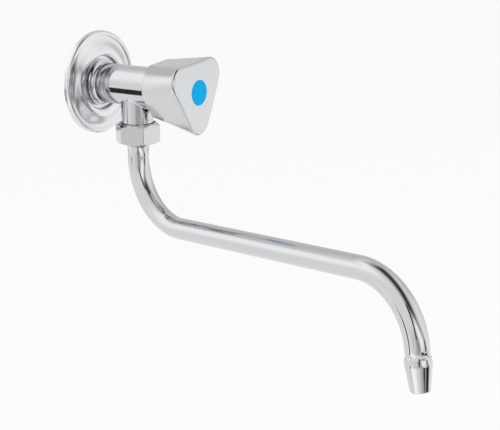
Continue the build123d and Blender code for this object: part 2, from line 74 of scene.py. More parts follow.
MM = 0.001
PHOTO_WIDTH = 500
SENSOR_WIDTH_MM = 36.0
WHITE: Colour = (1.0, 1.0, 1.0, 1.0)
INTO_WALL = Vector((0, 1, 0))
UP = Vector((0, 0, 1))
SAME_POINT = 1e-6  # metres within which two points count as one
WAVE_RADIANS = 20.0  # phase that the wave texture gains over a metre at scale one
HAZE_RANGE = (0.35, 0.7)  # part of the noise's range over which the polish fades
BLOOM_RANGE = (0.4, 0.65)  # part of the noise's range over which tarnish grows
PANEL_FRONT = (0.02, 0.1)  # cosines over which a panel starts, so that it has no twin behind


class Slot(Enum):
    """Material slots of the record that the pieces made here belong to."""

    CHROME = "chrome"
    RUBBER = "rubber"


class Body(Enum):
    """Rigid groups of the CAD part that move as one."""

    TAP = "tap"
    HANDLE = "handle"
    PISTON = "piston"
    SPOUT = "spout"


class Axis(Enum):
    """Axes of the part's frame that pieces were turned about."""

    Y = "Y"
    Z = "Z"


# ---- helpers that every material and every modifier tree is made with --------------------------
def linear(hex_colour: str) -> Colour:
    """Turns an sRGB hex colour into the linear values that shaders take.

    Args:
        hex_colour: Six hex digits after a hash sign.

    Returns:
        Red, green, blue and an alpha of one.
    """
    shares = [int(hex_colour[i:i + 2], 16) / 255 for i in (1, 3, 5)]
    red, green, blue = [
        share / 12.92 if share <= 0.04045 else ((share + 0.055) / 1.055) ** 2.4 for share in shares
    ]
    return red, green, blue, 1.0


def add_node(
    tree: NodeTree,
    kind: str,
    settings: Optional[dict[str, Any]] = None,
    values: Optional[dict[Key, Any]] = None,
    links: Optional[dict[Key, Source]] = None,
) -> Node:
    """Adds one node to a tree with its settings, its constant inputs and its links.

    Args:
        tree: The shader or geometry tree that gets the node.
        kind: Blender's name of the node's type.
        settings: Properties of the node itself.
        values: Constants for its input sockets, by name or by number.
        links: What feeds its other input sockets: a socket, or a node, whose first output in use
            is then meant.

    Returns:
        The new node.
    """
    node = tree.nodes.new(kind)
    for name, value in (settings or {}).items():
        setattr(node, name, value)
    for key, value in (values or {}).items():
        node.inputs[key].default_value = value
    for key, source in (links or {}).items():
        if isinstance(source, Node):
            source = next(socket for socket in source.outputs if socket.enabled)
        tree.links.new(source, node.inputs[key])
    return node


def per_metre(size_mm: float) -> float:
    """Scale of a pattern whose features are size_mm apart, on coordinates in metres."""
    return 1.0 / (size_mm * MM)


def new_material(name: str) -> Material:
    """Starts a node material with an empty tree."""
    material = bpy.data.materials.new(name)
    material.use_nodes = True
    material.node_tree.nodes.clear()
    return material


def end_material(material: Material, values: dict[Key, Any], links: dict[Key, Source]) -> Material:
    """Ends a node material with its Principled shader.

    Args:
        material: The material.
        values: Constants for the shader's input sockets.
        links: What feeds its other input sockets.

    Returns:
        The same material.
    """
    tree = material.node_tree
    shader = add_node(tree, "ShaderNodeBsdfPrincipled", values=values, links=links)
    add_node(tree, "ShaderNodeOutputMaterial", links={"Surface": shader})
    return material


# ---- finishes ----------------------------------------------------------------------------------
@dataclass(frozen=True)
class BarePassage:
    """A bore that the plating bath doesn't reach, so its brass shows.

    Attributes:
        point: A point on the bore's axis, in metres.
        direction: The bore's direction.
        radius_mm: How far from the axis the bare metal ends.
        colour: Colour of the bare metal.
    """

    point: Vector
    direction: Vector
    radius_mm: float
    colour: str = "#B8985A"


@dataclass(frozen=True)
class ChromePlate:
    """Bright chromium over nickel on a buffed metal piece.

    The plate is a neutral, slightly cool mirror. What shows how the piece under it was made is a
    faint waviness that bends reflections, and a haze of buffing marks that softens them.

    Attributes:
        name: The material's name.
        wave_mm: Distance between the swells that the buffing wheel left.
        wave_depth_mm: Height of those swells.
        haze_mm: Distance between patches of more and of less polish.
        gloss: Roughness in the best polished and in the dullest patches.
        passage: A bore left without plating, if the piece has one.
        colour: Colour of the plate at a square look.
    """

    name: str
    wave_mm: float
    wave_depth_mm: float
    haze_mm: float = 5.0
    gloss: tuple[float, float] = (0.05, 0.09)
    passage: Optional[BarePassage] = None
    colour: str = "#C9CACC"

    def material(self) -> Material:
        """Builds the plate's node material."""
        material = new_material(self.name)
        tree = material.node_tree
        place = add_node(tree, "ShaderNodeTexCoord").outputs["Object"]
        haze = add_node(
            tree, "ShaderNodeTexNoise",
            values={"Scale": per_metre(self.haze_mm), "Detail": 3.0, "Roughness": 0.6},
            links={"Vector": place},
        )
        roughness = add_node(
            tree, "ShaderNodeMapRange",
            values={
                "From Min": HAZE_RANGE[0], "From Max": HAZE_RANGE[1],
                "To Min": self.gloss[0], "To Max": self.gloss[1],
            },
            links={"Value": haze},
        )
        swell = add_node(
            tree, "ShaderNodeTexNoise",
            values={"Scale": per_metre(self.wave_mm), "Detail": 0.0}, links={"Vector": place},
        )
        bump = add_node(
            tree, "ShaderNodeBump",
            values={"Strength": 1.0, "Distance": self.wave_depth_mm * MM}, links={"Height": swell},
        )
        values: dict[Key, Any] = {"Metallic": 1.0}
        links: dict[Key, Source] = {"Roughness": roughness, "Normal": bump}
        if self.passage is None:
            values["Base Color"] = linear(self.colour)
        else:
            links["Base Color"] = self._bare_inside(tree, place)
        return end_material(material, values, links)

    def _bare_inside(self, tree: NodeTree, place: NodeSocket) -> Node:
        """Colours the passage as bare brass and the rest as plate.

        Args:
            tree: The material's tree.
            place: Object coordinates.

        Returns:
            The node that gives the shader its colour.
        """
        away = add_node(
            tree, "ShaderNodeVectorMath", {"operation": "SUBTRACT"},
            values={1: self.passage.point}, links={0: place},
        )
        across = add_node(
            tree, "ShaderNodeVectorMath", {"operation": "CROSS_PRODUCT"},
            values={1: self.passage.direction.normalized()}, links={0: away},
        )
        distance = add_node(
            tree, "ShaderNodeVectorMath", {"operation": "LENGTH"}, links={0: across}
        )
        inside = add_node(
            tree, "ShaderNodeMath", {"operation": "LESS_THAN"},
            values={1: self.passage.radius_mm * MM}, links={0: distance},
        )
        return add_node(
            tree, "ShaderNodeMix", {"data_type": "RGBA"},
            values={6: linear(self.colour), 7: linear(self.passage.colour)}, links={0: inside},
        )


@dataclass(frozen=True)
class TurnedMetal:
    """Bare metal straight from the lathe: fine rings from the tool, dulled by handling.

    Attributes:
        name: The material's name.
        colour: Colour of the clean metal.
        tarnish: Colour where air and grease have worked on it.
        feed_mm: Distance between tool marks, drawn coarser than real so that they show.
        groove_mm: Depth of the tool marks.
        bloom_mm: Distance between patches of tarnish.
        gloss: Roughness of clean metal and of tarnished metal.
        axis: Axis that the piece was turned about.
    """

    name: str
    colour: str
    tarnish: str
    feed_mm: float = 3.14
    groove_mm: float = 0.006
    bloom_mm: float = 4.0
    gloss: tuple[float, float] = (0.2, 0.38)
    axis: Axis = Axis.Y

    def material(self) -> Material:
        """Builds the bare metal's node material."""
        material = new_material(self.name)
        tree = material.node_tree
        place = add_node(tree, "ShaderNodeTexCoord").outputs["Object"]
        marks = add_node(
            tree, "ShaderNodeTexWave", {"bands_direction": self.axis.value},
            values={
                "Scale": per_metre(self.feed_mm) * 2 * pi / WAVE_RADIANS,
                "Distortion": 0.4, "Detail": 1.0,
            },
            links={"Vector": place},
        )
        bump = add_node(
            tree, "ShaderNodeBump",
            values={"Strength": 1.0, "Distance": self.groove_mm * MM},
            links={"Height": marks.outputs["Fac"]},
        )
        patches = add_node(
            tree, "ShaderNodeTexNoise",
            values={"Scale": per_metre(self.bloom_mm), "Detail": 4.0, "Roughness": 0.65},
            links={"Vector": place},
        )
        worn = add_node(
            tree, "ShaderNodeMapRange",
            values={"From Min": BLOOM_RANGE[0], "From Max": BLOOM_RANGE[1]},
            links={"Value": patches},
        )
        colour = add_node(
            tree, "ShaderNodeMix", {"data_type": "RGBA"},
            values={6: linear(self.colour), 7: linear(self.tarnish)}, links={0: worn},
        )
        roughness = add_node(
            tree, "ShaderNodeMapRange", values={"To Min": self.gloss[0], "To Max": self.gloss[1]},
            links={"Value": worn},
        )
        links = {"Base Color": colour, "Roughness": roughness, "Normal": bump}
        return end_material(material, {"Metallic": 1.0}, links)


@dataclass(frozen=True)
class Moulding:
    """Plastic, rubber or pressed fibre: two close tones, and the grain of the mould or the sheet.

    Attributes:
        name: The material's name.
        colour: Main colour.
        second: Colour of its faint mottling.
        roughness: How matt it is on average.
        grain_mm: Distance between the grains.
        grain_depth_mm: Height of the grains.
        mottle_mm: Distance between the patches of the second colour.
        shine: Specular level, half for common plastics.
        inner_glow: Share of light that enters and spreads inside.
        spread: Share by which the roughness goes up and down with the grain.
    """

    name: str
    colour: str
    second: str
    roughness: float
    grain_mm: float
    grain_depth_mm: float
    mottle_mm: float = 3.0
    shine: float = 0.5
    inner_glow: float = 0.0
    spread: float = 0.1

    def material(self) -> Material:
        """Builds the moulded or pressed stuff's node material."""
        material = new_material(self.name)
        tree = material.node_tree
        place = add_node(tree, "ShaderNodeTexCoord").outputs["Object"]
        mottle = add_node(
            tree, "ShaderNodeTexNoise",
            values={"Scale": per_metre(self.mottle_mm), "Detail": 3.0}, links={"Vector": place},
        )
        colour = add_node(
            tree, "ShaderNodeMix", {"data_type": "RGBA"},
            values={6: linear(self.colour), 7: linear(self.second)}, links={0: mottle},
        )
        grain = add_node(
            tree, "ShaderNodeTexNoise",
            values={"Scale": per_metre(self.grain_mm), "Detail": 2.0}, links={"Vector": place},
        )
        bump = add_node(
            tree, "ShaderNodeBump",
            values={"Strength": 1.0, "Distance": self.grain_depth_mm * MM}, links={"Height": grain},
        )
        matt = add_node(
            tree, "ShaderNodeMapRange",
            values={
                "To Min": self.roughness * (1 - self.spread),
                "To Max": min(1.0, self.roughness * (1 + self.spread)),
            },
            links={"Value": grain},
        )
        values = {
            "Specular IOR Level": self.shine, "Subsurface Weight": self.inner_glow,
            "Subsurface Scale": MM,
        }
        links = {"Base Color": colour, "Roughness": matt, "Normal": bump}
        return end_material(material, values, links)


# Bright plate on each kind of metal: cast brass keeps long swells under it, a pressed sheet is
# almost flat and a little dull, hexagon bar has short swells, a drawn tube is the truest, and a
# die-cast zinc handle is soft and even.
CAST_CHROME = ChromePlate(
    "chrome_plated_cast_brass", wave_mm=14.0, wave_depth_mm=0.010, gloss=(0.06, 0.1),
    passage=BarePassage(Vector(), INTO_WALL, radius_mm=6.6),
)
PRESSED_CHROME = ChromePlate(
    "chrome_plated_pressed_brass", wave_mm=18.0, wave_depth_mm=0.008, gloss=(0.18, 0.23),
    colour="#D8D9DB",
)
NUT_CHROME = ChromePlate(
    "chrome_plated_hexagon_bar", wave_mm=7.0, wave_depth_mm=0.006, gloss=(0.09, 0.14)
)
TUBE_CHROME = ChromePlate(
    "chrome_plated_drawn_tube", wave_mm=22.0, wave_depth_mm=0.008, gloss=(0.05, 0.08)
)
ZINC_CHROME = ChromePlate(
    "chrome_plated_zinc_die_casting", wave_mm=16.0, wave_depth_mm=0.010, gloss=(0.09, 0.14)
)
# Yellow machining brass, with brown bloom where it has been wet.
TURNED_BRASS = TurnedMetal("turned_brass", colour="#D0AE6B", tarnish="#A9854A")
UPRIGHT_BRASS = TurnedMetal(
    "turned_brass_upright", colour="#D0AE6B", tarnish="#A9854A", axis=Axis.Z
)
# Spring steel and screw steel: colder and greyer than the chrome.
STAINLESS = TurnedMetal(
    "stainless_steel", colour="#BDBBB6", tarnish="#9C9A95", feed_mm=1.885, groove_mm=0.003
)
# Vulcanised paper fibre, dull red-brown with a felted grain.
RED_FIBRE = Moulding(
    "vulcanised_fibre", "#8A3B26", "#6F2C1C", roughness=0.75, grain_mm=0.5, grain_depth_mm=0.02
)
# Moulded nitrile rubber, near black and greasy rather than shiny.
BLACK_RUBBER = Moulding(
    "moulded_nitrile_rubber", "#1B1B1C", "#242425", roughness=0.55, grain_mm=0.4,
    grain_depth_mm=0.006,
)
# Unfilled acetal: milky, slightly waxy.
PALE_ACETAL = Moulding(
    "moulded_acetal", "#ECEAE2", "#E4E1D6", roughness=0.38, grain_mm=1.2, grain_depth_mm=0.004,
    inner_glow=0.15,
)
# Pigmented cap plastic: one flat, strong blue with a satin skin.
BLUE_CAP = Moulding(
    "moulded_blue_plastic", "#00AFF0", "#00ACEC", roughness=0.5, grain_mm=0.6,
    grain_depth_mm=0.003, shine=0.08,
)


Finish = Union[ChromePlate, TurnedMetal, Moulding]


# ---- pieces of the tap -------------------------------------------------------------------------
class Workshop:
    """Makes each finish once and puts it on pieces."""

    def __init__(self) -> None:
        """Starts with no finish made."""
        self._made: dict[str, Material] = {}

    def stuff(self, finish: Finish) -> Material:
        """Gives a finish's material, made at its first use.

        Args:
            finish: The finish wanted.

        Returns:
            Its material.
        """
        if finish.name not in self._made:
            self._made[finish.name] = finish.material()
        return self._made[finish.name]

    def dress(self, finishes: dict[str, Finish]) -> None:
        """Puts finishes on CAD nodes, on every material slot of each.

        Args:
            finishes: The finish that each node gets, by the node's name.
        """
        for node, finish in finishes.items():
            piece = frame["nodes"][node]
            material = self.stuff(finish)
            if not piece.material_slots:
                piece.data.materials.append(material)
            for place in piece.material_slots:
                place.material = material
            log.info("%s: %s", node, finish.name)


@dataclass
class SubAssembly:
    """Pieces of the tap that belong together.

    Attributes:
        shop: Where their finishes come from.
    """

    shop: Workshop


def put_in_scene(name: str, data: ID) -> Object:
    """Makes an object and links it to the scene.

    Args:
        name: The object's name.
        data: Its mesh, curve, lamp or camera.

    Returns:
        The object, at the origin.
    """
    thing = bpy.data.objects.new(name, data)
    bpy.context.scene.collection.objects.link(thing)
    return thing


def drawn_line(name: str, points: list[Vector], closed: bool = False) -> Object:
    """Draws a line that goes straight from point to point.

    Args:
        name: The line's name.
        points: Its points, in metres.
        closed: Whether its end joins its start.

    Returns:
        The line as a curve object.
    """
    line = bpy.data.curves.new(name, "CURVE")
    line.dimensions = "3D"
    spline = line.splines.new("POLY")
    spline.points.add(len(points) - 1)
    for spot, point in zip(spline.points, points):
        spot.co = (*point, 1.0)
    spline.use_cyclic_u = closed
    return put_in_scene(name, line)


def keep_piece(piece: Object, body: Body, replaced: tuple[str, ...] = ()) -> None:
    """Fastens a finished piece to its body and says what it stands for.

    Args:
        piece: The finished mesh object, at the origin.
        body: The CAD body that it moves with.
        replaced: CAD nodes that it is shown in place of.
    """
    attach(piece, body.value)
    if replaced:
        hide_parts(*replaced)
    log.info("%s: %d faces on %s", piece.name, len(piece.data.polygons), body.value)


def solid_from_tree(
    name: str, base: Object, tree: NodeTree, inputs: dict[str, Any], wall: Optional[float] = None
) -> Object:
    """Runs a geometry tree on a base object and keeps the result as a plain mesh.

    Args:
        name: Name of the finished piece.
        base: Object that the modifiers stand on. It is removed afterwards.
        tree: The geometry tree.
        inputs: Values for the tree's named inputs.
        wall: Thickness of a wall that grows inwards from the tree's surface, in metres.

    Returns:
        The finished piece, linked to the scene.
    """
    modifier = base.modifiers.new("shape", "NODES")
    modifier.node_group = tree
    for item in tree.interface.items_tree:
        if item.item_type == "SOCKET" and item.in_out == "INPUT" and item.name in inputs:
            modifier[item.identifier] = inputs[item.name]
    if wall is not None:
        solidify = base.modifiers.new("wall", "SOLIDIFY")
        solidify.thickness = wall
        solidify.offset = -1.0
        solidify.use_even_offset = True
    graph = bpy.context.evaluated_depsgraph_get()
    mesh = bpy.data.meshes.new_from_object(base.evaluated_get(graph), depsgraph=graph)
    mesh.name = name
    piece = put_in_scene(name, mesh)
    base.modifiers.clear()
    bpy.data.objects.remove(base)
    return piece


def open_tree(name: str, sockets: dict[str, str]) -> tuple[NodeTree, dict[str, NodeSocket]]:
    """Starts a geometry tree with named inputs.

    Args:
        name: The tree's name.
        sockets: Kind of each input, by the input's name.

    Returns:
        The tree and its inputs, by name.
    """
    tree = bpy.data.node_groups.new(name, "GeometryNodeTree")
    tree.interface.new_socket("Geometry", in_out="INPUT", socket_type="NodeSocketGeometry")
    for socket, kind in sockets.items():
        tree.interface.new_socket(socket, in_out="INPUT", socket_type="NodeSocket" + kind)
    tree.interface.new_socket("Geometry", in_out="OUTPUT", socket_type="NodeSocketGeometry")
    given = add_node(tree, "NodeGroupInput")
    return tree, {socket.name: socket for socket in given.outputs}


def close_tree(tree: NodeTree, shape: Node, material: NodeSocket) -> None:
    """Ends a geometry tree with real geometry, smooth shading and one material.

    Args:
        tree: The tree.
        shape: The node that gives the geometry.
        material: The socket that names the material.
    """
    smooth = add_node(tree, "GeometryNodeSetShadeSmooth", links={"Geometry": shape})
    real = add_node(tree, "GeometryNodeRealizeInstances", links={"Geometry": smooth})
    dressed = add_node(
        tree, "GeometryNodeSetMaterial", links={"Geometry": real, "Material": material}
    )
    add_node(tree, "NodeGroupOutput", links={"Geometry": dressed})


@dataclass(frozen=True)
class TurnedRing:
    """Identical rings about one axis, such as seals or a fillet of braze.

    Attributes:
        name: The piece's name.
        section_mm: Corners of the section: how far outside radius_mm, and how far along the axis.
        radius_mm: Radius that the section is counted from.
        middle: Middle of the first ring, in metres.
        axis: Direction from the first ring to the next.
        rings: How many there are.
        gap_mm: Distance between two of them.
        steps_around: Flats of each ring.
    """

    name: str
    section_mm: tuple[tuple[float, float], ...]
    radius_mm: float
    middle: Vector
    axis: Vector
    rings: int = 1
    gap_mm: float = 0.0
    steps_around: int = 96

    def build(self, material: Material) -> Object:
        """Sweeps the section round the axis, once for each ring.

        Args:
            material: What the rings are made of.

        Returns:
            All the rings as one piece.
        """
        tree, given = open_tree(self.name, {
            "Ring Radius": "Float", "Steps Around": "Int", "Rings": "Int", "Gap": "Vector",
            "Middle": "Vector", "Turn": "Rotation", "Finish": "Material",
        })
        path = add_node(
            tree, "GeometryNodeCurvePrimitiveCircle", {"mode": "RADIUS"},
            links={"Resolution": given["Steps Around"], "Radius": given["Ring Radius"]},
        )
        upright = add_node(
            tree, "GeometryNodeSetCurveNormal", {"mode": "Z_UP"}, links={"Curve": path}
        )
        ring = add_node(
            tree, "GeometryNodeCurveToMesh",
            links={"Curve": upright, "Profile Curve": given["Geometry"]},
        )
        places = add_node(
            tree, "GeometryNodeMeshLine", {"mode": "OFFSET"},
            links={"Count": given["Rings"], "Offset": given["Gap"]},
        )
        copies = add_node(
            tree, "GeometryNodeInstanceOnPoints", links={"Points": places, "Instance": ring}
        )
        placed = add_node(
            tree, "GeometryNodeTransform",
            links={"Geometry": copies, "Translation": given["Middle"], "Rotation": given["Turn"]},
        )
        close_tree(tree, placed, given["Finish"])
        sizes = {
            "Ring Radius": self.radius_mm * MM, "Steps Around": self.steps_around,
            "Rings": self.rings, "Gap": (0.0, 0.0, self.gap_mm * MM), "Middle": self.middle,
            "Turn": self.axis.to_track_quat("Z", "Y").to_euler(), "Finish": material,
        }
        corners = [Vector((out, -ahead, 0.0)) * MM for out, ahead in reversed(self.section_mm)]
        section = drawn_line(self.name + "_section", corners, closed=True)
        rings = solid_from_tree(self.name, section, tree, sizes)
        # The section's own empty slot comes first, so the slots are made anew.
        rings.data.materials.clear()
        rings.data.materials.append(material)
        return rings


def round_section(cord_r_mm: float, corners: int = 20) -> tuple[tuple[float, float], ...]:
    """Gives the round section of a rubber cord.

    Args:
        cord_r_mm: Radius of the cord.
        corners: Corners that stand for the circle.

    Returns:
        The section's corners in millimetres.
    """
    turns = [2 * pi * corner / corners for corner in range(corners)]
    return tuple((cord_r_mm * cos(turn), cord_r_mm * sin(turn)) for turn in turns)


@dataclass
class SwivelSpout(SubAssembly):
    """The bent spout with its spigot, seals and nozzle.

    Attributes:
        tube_r_mm: Outside radius of the tube.
        wall_mm: Wall of the tube.
        bend_r_mm: Centreline radius of both bends.
        top_drop_mm: Upper end of the tube below the tap's axis.
        first_bend_drop_mm: Start of the first bend below the tap's axis.
        run_mm: Straight run between the bends.
        run_rise_deg: Rise of the run above level.
        nozzle_dip_deg: Dip of the outlet below level.
        tail_mm: Straight tube after the second bend, its end in the nozzle included.
        rest_swing_deg: Direction of the spout from straight out, positive towards +X.
        nozzle_bore_r_mm: Bore of the nozzle.
        bare_rim_mm: How far round the bore the nozzle's brass shows.
        tube_in_nozzle_mm: Length of tube inside the nozzle.
        nozzle_rim_mm: How far the nozzle's upper rim stands out from the tube.
        braze_mm: Length of tube that the braze runs up.
        braze_root_mm: How deep the braze's foot lies in the tube's wall.
        braze_steps: Steps along the braze's face.
        seal_cord_r_mm: Radius of an O-ring's cord.
        seal_r_mm: Radius of an O-ring's middle line.
        seal_drops_mm: The two O-rings below the tap's axis, the lower one first.
        steps_in_bend: Steps along each bend.
        steps_around: Steps round the tube.
    """

    tube_r_mm: float = 8.0
    wall_mm: float = 1.0
    bend_r_mm: float = 46.7
    top_drop_mm: float = 32.5
    first_bend_drop_mm: float = 52.9
    run_mm: float = 176.8
    run_rise_deg: float = 4.0
    nozzle_dip_deg: float = 81.8
    tail_mm: float = 9.6
    rest_swing_deg: float = -15.0
    nozzle_bore_r_mm: float = 4.8
    bare_rim_mm: float = 0.1
    tube_in_nozzle_mm: float = 4.0
    nozzle_rim_mm: float = 0.4
    braze_mm: float = 1.4
    braze_root_mm: float = 0.05
    braze_steps: int = 10
    seal_cord_r_mm: float = 1.2
    seal_r_mm: float = 8.25
    seal_drops_mm: tuple[float, float] = (29.6, 25.6)
    steps_in_bend: int = 40
    steps_around: int = 96

    def build(self) -> None:
        """Makes the tube, the braze and the seals, and dresses the spout's nodes."""
        keep_piece(self._tube(), Body.SPOUT, ("spout_tube",))
        keep_piece(self._braze(), Body.SPOUT)
        keep_piece(self._seals(), Body.SPOUT, ("spout_o_rings",))
        mouth = next(m for m in frame["record"]["mounts"] if m["name"] == "outlet_mouth")
        bore = BarePassage(
            Vector(mouth["pos_m"]), Vector(mouth["axis"]), self.nozzle_bore_r_mm + self.bare_rim_mm
        )
        nozzle_chrome = ChromePlate(
            "chrome_plated_turned_nozzle", wave_mm=9.0, wave_depth_mm=0.004, passage=bore
        )
        self.shop.dress({
            "outlet_nozzle": nozzle_chrome, "spout_spigot": UPRIGHT_BRASS,
            "upper_slide_ring": PALE_ACETAL, "lower_slide_ring": PALE_ACETAL,
        })

    def _braze(self) -> Object:
        """Fills the step between the tube and the nozzle's rim with a smooth fillet of braze.

        Returns:
            The fillet, plated with the tube.
        """
        _, _, second, end = self.corners()
        down = (end - second).normalized()
        rises = [step / self.braze_steps for step in range(self.braze_steps + 1)]
        face = [(self.nozzle_rim_mm * t * t * (3 - 2 * t), self.braze_mm * (t - 1)) for t in rises]
        root = [(-self.braze_root_mm, 0.0), (-self.braze_root_mm, -self.braze_mm)]
        fillet = TurnedRing(
            "nozzle_braze", tuple(face + root), self.tube_r_mm,
            end - down * self.tube_in_nozzle_mm * MM, down,
        )
        return fillet.build(self.shop.stuff(TUBE_CHROME))

    def _seals(self) -> Object:
        """Makes the two round O-rings in the spigot's grooves."""
        low, high = self.seal_drops_mm
        seals = TurnedRing(
            "spout_seal_rings", round_section(self.seal_cord_r_mm), self.seal_r_mm,
            self._on_swivel(low), UP, rings=2, gap_mm=low - high,
        )
        return seals.build(self.shop.stuff(BLACK_RUBBER))

    @staticmethod
    def _on_swivel(drop_mm: float) -> Vector:
        """Gives the point of the swivel's axis that lies drop_mm below the tap's axis."""
        joint = next(j for j in frame["joints"] if j["name"] == "spout_swivel")
        return Vector((joint["pos_m"][0], joint["pos_m"][1], -drop_mm * MM))

    def corners(self) -> list[Vector]:
        """Works out the corners that the centreline would have without its bends.

        Returns:
            The tube's two ends and the two corners between them, in metres.
        """
        swing = radians(self.rest_swing_deg)
        outwards = Vector((sin(swing), -cos(swing), 0.0))
        rise, dip = radians(self.run_rise_deg), radians(self.nozzle_dip_deg)
        along_run = outwards * cos(rise) + Vector((0, 0, sin(rise)))
        along_nozzle = outwards * cos(dip) - Vector((0, 0, sin(dip)))
        first_reach = self.bend_r_mm * tan((pi / 2 + rise) / 2)
        second_reach = self.bend_r_mm * tan((rise + dip) / 2)
        top = self._on_swivel(self.top_drop_mm)
        first = self._on_swivel(self.first_bend_drop_mm + first_reach)
        second = first + along_run * (first_reach + self.run_mm + second_reach) * MM
        end = second + along_nozzle * (second_reach + self.tail_mm) * MM
        return [top, first, second, end]

    def _tube(self) -> Object:
        """Sweeps the drawn tube along its rounded centreline.

        Returns:
            The tube with its wall, plated outside and bare inside.
        """
        tree, given = open_tree("bent_tube", {
            "Tube Radius": "Float", "Bend Radius": "Float", "Bend Steps": "Int",
            "Steps Around": "Int", "Finish": "Material",
        })
        bent = add_node(
            tree, "GeometryNodeFilletCurve", {"mode": "POLY"},
            links={"Curve": given["Geometry"], "Radius": given["Bend Radius"],
                   "Count": given["Bend Steps"]},
        )
        section = add_node(
            tree, "GeometryNodeCurvePrimitiveCircle", {"mode": "RADIUS"},
            links={"Resolution": given["Steps Around"], "Radius": given["Tube Radius"]},
        )
        skin = add_node(
            tree, "GeometryNodeCurveToMesh", values={"Fill Caps": False},
            links={"Curve": bent, "Profile Curve": section},
        )
        close_tree(tree, skin, given["Finish"])
        sizes = {
            "Tube Radius": self.tube_r_mm * MM, "Bend Radius": self.bend_r_mm * MM,
            "Bend Steps": self.steps_in_bend, "Steps Around": self.steps_around,
            "Finish": self.shop.stuff(TUBE_CHROME),
        }
        centreline = drawn_line("spout_centreline", self.corners())
        piece = solid_from_tree("bent_spout_tube", centreline, tree, sizes, self.wall_mm * MM)
        piece.data.materials.append(self.shop.stuff(UPRIGHT_BRASS))
        # Faces come in this order: the skin outside, as many inside, and the rims of both ends.
        wall_faces = (len(piece.data.polygons) - 2 * self.steps_around) // 2
        for face in piece.data.polygons[wall_faces:2 * wall_faces]:
            face.material_index = 1
        return piece


